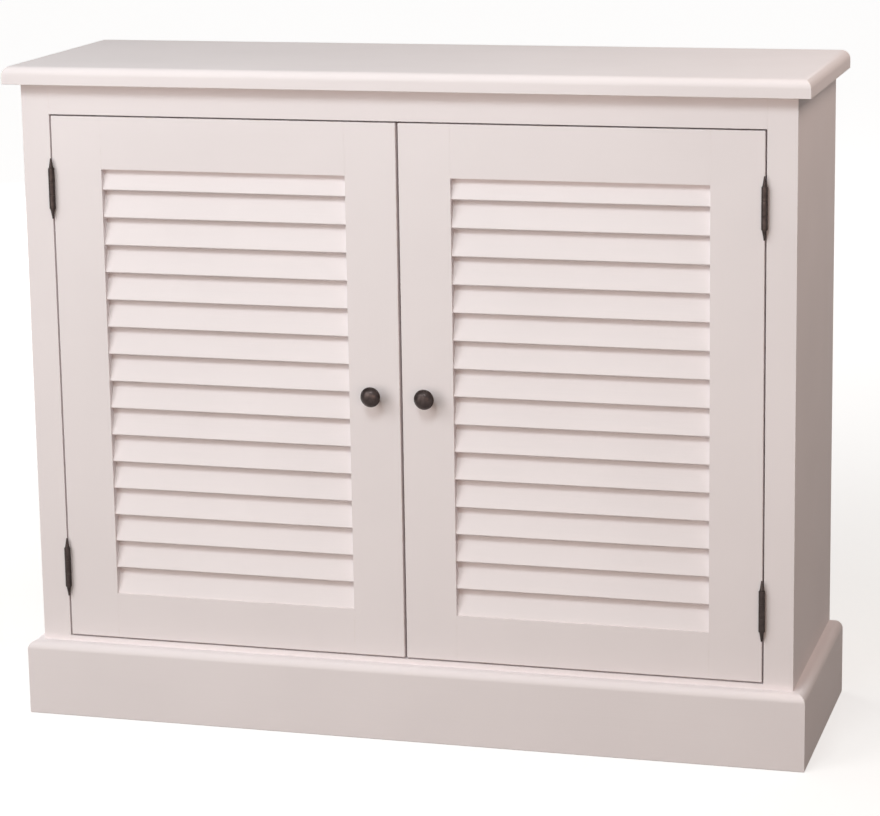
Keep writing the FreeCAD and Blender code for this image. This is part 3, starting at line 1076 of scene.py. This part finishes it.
def catch_parts():
    for side in SIDES:
        node = f"{side}_door_strike_plate"
        plate = cut(eased_block(*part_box(node), metal_ease), sinks(strike_screw_places(side), strike_screw))
        add_piece(f"zinc_{node}", mesh_of(plate, node), BODY[side], "zinc_steel", PLATE, node)
        dress(f"{side}_catch_housing", CATCH_BODY)
    dress("catch_pole_plates", PLATE)
    dress("catch_magnets", MAGNET)


def knob_screw_places(side):
    """On the back of the door, behind the knob."""
    low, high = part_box(f"{side}_door_knob")
    stile_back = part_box(f"{side}_door_meeting_stile")[1].y
    return [(((low.x + high.x) / 2, stile_back, (low.z + high.z) / 2), (0, 1, 0))]


def catch_screw_places():
    """In the two ears of each catch, from below."""
    places = []
    for side in SIDES:
        low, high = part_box(f"{side}_catch_housing")
        for x in (low.x + catch_screw_from_end, high.x - catch_screw_from_end):
            places.append(((x, (low.y + high.y) / 2, high.z - catch_ear), (0, 0, -1)))
    return places


def top_screw_places():
    """Up through the cleats into the top."""
    places = []
    for node in ("top_front_cleat", "top_back_cleat"):
        low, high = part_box(node)
        for x in (low.x + top_screw_from_end, (low.x + high.x) / 2, high.x - top_screw_from_end):
            places.append(((x, (low.y + high.y) / 2, low.z), (0, 0, -1)))
    return places


def back_screw_places():
    """Round the edge of the back panel."""
    low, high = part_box("back_panel")
    inset = Vector((back_screw_inset, 0, back_screw_inset))
    low, high = low + inset, high - inset
    width, height = high.x - low.x, high.z - low.z
    across, upward = round(width / back_screw_spacing), round(height / back_screw_spacing)
    spots = [(low.x + width * number / across, z) for number in range(across + 1) for z in (low.z, high.z)]
    spots += [(x, low.z + height * number / upward) for number in range(1, upward) for x in (low.x, high.x)]
    return [((x, high.y - back_sink, z), (0, 1, 0)) for x, z in spots]


def small_screws():
    """Flush screws in the plates and the back, and domed ones where nobody sees them."""
    flat, domed = screw_tree(domed=False), screw_tree(domed=True)
    bronze, zinc = ("dark_bronze", METAL), ("zinc_steel", PLATE)
    for side in SIDES:
        body = BODY[side]
        leaf_places = flush(hinge_screw_places(side, on_door=True))
        add_screws(flat, f"{body}_hinge_screws", body, bronze, hinge_screw, leaf_places, seed=11)
        strike_places = flush(strike_screw_places(side))
        add_screws(flat, f"{body}_strike_screws", body, zinc, strike_screw, strike_places, seed=13)
        add_screws(domed, f"{body}_knob_screw", body, zinc, knob_screw, knob_screw_places(side), seed=12)
    on_frame = [place for side in SIDES for place in hinge_screw_places(side, on_door=False)]
    add_screws(flat, "case_hinge_screws", "case", bronze, hinge_screw, flush(on_frame), seed=14)
    add_screws(domed, "catch_screws", "case", zinc, catch_screw, catch_screw_places(), seed=15)
    add_screws(domed, "top_screws", "case", zinc, top_screw, top_screw_places(), seed=16)
    add_screws(flat, "back_screws", "case", zinc, back_screw, flush(back_screw_places()), seed=17)


# ---- Studio ----
def camera():
    """A long lens from the right of the middle, above the top of the cabinet."""
    forward = Vector((-math.sin(camera_turn), math.cos(camera_turn), 0)) * math.cos(camera_drop)
    forward.z = -math.sin(camera_drop)
    level = Vector((math.cos(camera_turn), math.sin(camera_turn), 0))
    upright = level.cross(forward)
    right = level * math.cos(camera_roll) + upright * math.sin(camera_roll)
    up = upright * math.cos(camera_roll) - level * math.sin(camera_roll)
    data = bpy.data.cameras.new("camera")
    data.sensor_fit = "HORIZONTAL"
    data.sensor_width = camera_sensor
    data.lens = camera_lens
    data.shift_y = camera_shift
    data.clip_end = camera_sight
    place = Matrix((right, up, -forward)).transposed().to_4x4()
    place.translation = camera_place
    made = placed("camera", data)
    made.matrix_world = place
    bpy.context.scene.camera = made


def sky():
    """An even pale room light, behind a white backdrop."""
    world = bpy.data.worlds.new("room")
    world.use_nodes = True
    bpy.context.scene.world = world
    shading = Shading(world.node_tree)
    room = shading.tree.nodes["Background"]
    room.inputs["Color"].default_value = ROOM_LIGHT
    room.inputs["Strength"].default_value = room_level
    white = shading.node("ShaderNodeBackground")
    white.inputs["Color"].default_value = BACKDROP
    white.inputs["Strength"].default_value = 1.0
    mix = shading.node("ShaderNodeMixShader")
    for index, output in enumerate((shading.seen_directly(), room.outputs[0], white.outputs[0])):
        shading.join(output, mix.inputs[index])
    shading.join(mix.outputs[0], shading.tree.nodes["World Output"].inputs["Surface"])


def floor_finish():
    """Matt, dark to the light that it would send up, and glowing enough to look white."""
    finish = Finish("pale_floor")
    finish.shader.inputs["Roughness"].default_value = 0.9
    finish.shader.inputs["Specular IOR Level"].default_value = 0.1
    finish.shader.inputs["Emission Color"].default_value = BACKDROP
    seen = finish.seen_directly()
    tone = finish.node("ShaderNodeMix", data_type="RGBA")
    tone.inputs[6].default_value = FLOOR_UNSEEN
    tone.inputs[7].default_value = FLOOR_SEEN
    finish.join(seen, tone.inputs[0])
    finish.colour(tone.outputs[2])
    away = finish.node("ShaderNodeVectorMath", operation="LENGTH")
    finish.join(finish.place, away.inputs[0])
    glow = finish.between(away.outputs["Value"], *floor_glow, *floor_glow_reach)
    finish.join(finish.maths("MULTIPLY", seen, glow), finish.shader.inputs["Emission Strength"])
    return finish.material


def floor():
    """A pale floor that looks white and keeps the shadow of the cabinet."""
    shape = bmesh.new()
    bmesh.ops.create_grid(shape, x_segments=2, y_segments=2, size=floor_reach)
    mesh = bpy.data.meshes.new("floor")
    shape.to_mesh(mesh)
    shape.free()
    mesh.materials.append(floor_finish())
    ground = placed("floor", mesh)


def soft_light(name, turn, rise, distance, size, level, colour):
    """A soft light round the cabinet, whose level is its share of plain light on a face turned to it."""
    turn, rise = math.radians(turn), math.radians(rise)
    away = Vector((math.sin(turn) * math.cos(rise), -math.cos(turn) * math.cos(rise), math.sin(rise)))
    data = bpy.data.lights.new(name, "AREA")
    data.shape = "RECTANGLE"
    data.size, data.size_y = size
    data.energy = level * (math.pi * distance) ** 2
    data.color = colour
    lamp = placed(name, data)
    lamp.location = lamp_aim + away * distance
    lamp.visible_camera = False
    lamp.rotation_mode = "QUATERNION"
    lamp.rotation_quaternion = (-away).to_track_quat("-Z", "Y")


def lamps():
    """Each turned to the right of the front and raised, in degrees, and placed and sized in metres."""
    soft_light("window", -40, 32, distance=3.3, size=(2.0, 1.5), level=0.35, colour=(0.96, 0.99, 1.0))
    soft_light("high_front", 2, 45, distance=2.4, size=(0.6, 0.6), level=0.285, colour=(0.87, 0.97, 1.0))
    soft_light("low_left", -25, 6, distance=3.4, size=(2.6, 1.2), level=0.265, colour=(1.0, 0.94, 0.89))
    soft_light("low_right", 25, 6, distance=3.4, size=(2.6, 1.2), level=0.195, colour=(1.0, 0.78, 0.66))
    soft_light("right_end", 97, 46, distance=2.1, size=(0.8, 0.8), level=0.265, colour=(1.0, 0.83, 0.74))
    soft_light("ceiling", 0, 80, distance=2.4, size=(2.4, 1.6), level=0.09, colour=(0.92, 1.0, 0.98))
    soft_light("behind", -130, 6, distance=4.5, size=(2.4, 1.6), level=0.60, colour=(1.0, 0.97, 0.95))


top_board()
base_runs()
painted_case()
bare_case()
louvres = slat_tree()
for door in SIDES:
    door_frame(door)
    door_slats(door, louvres)
    knob(door)
hinges()
catch_parts()
small_screws()

bpy.context.scene.view_settings.view_transform = "Standard"
camera()
sky()
floor()
lamps()
